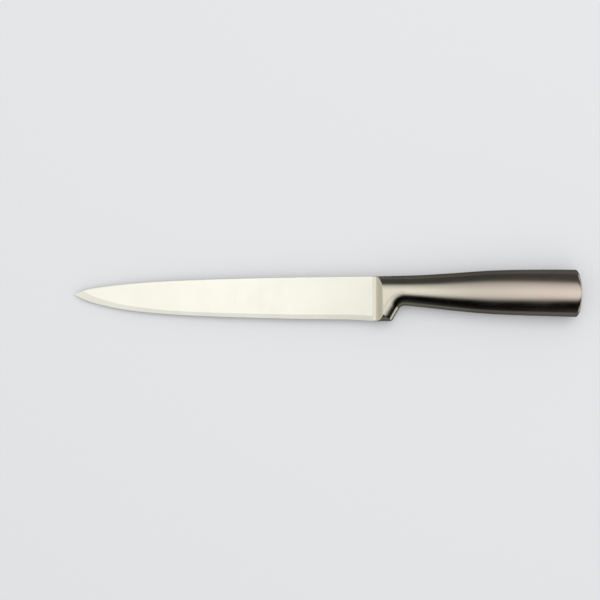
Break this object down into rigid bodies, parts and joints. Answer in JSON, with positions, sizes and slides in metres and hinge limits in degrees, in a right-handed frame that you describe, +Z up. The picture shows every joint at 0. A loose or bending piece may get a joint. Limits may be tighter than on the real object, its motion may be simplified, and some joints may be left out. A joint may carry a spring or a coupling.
{
  "type": "carving knife",
  "caption": "Carving knife of stainless steel with a long pointed blade, a guard-like bolster and a flared hollow handle.",
  "frame": {"origin": "middle of the bounding box's bottom face, where the knife lies on its flank", "axes": "+X from the tip towards the butt, +Y towards the spine, +Z up from the surface that the knife lies on"},
  "size_m": [0.3272, 0.0332, 0.0178],
  "materials": {
    "blade_steel": "fine satin ground stainless steel",
    "bolster_steel": "polished stainless steel",
    "handle_steel": "satin stainless steel",
    "cap_steel": "satin stainless steel",
    "weight_steel": "sawn mild steel, unseen"
  },
  "bodies": {
    "root": {"blade": "blade_steel", "bolster": "bolster_steel", "handle_shell_left": "handle_steel", "handle_shell_right": "handle_steel", "butt_cap": "cap_steel", "balance_weight": "weight_steel"}
  },
  "joints": []
}
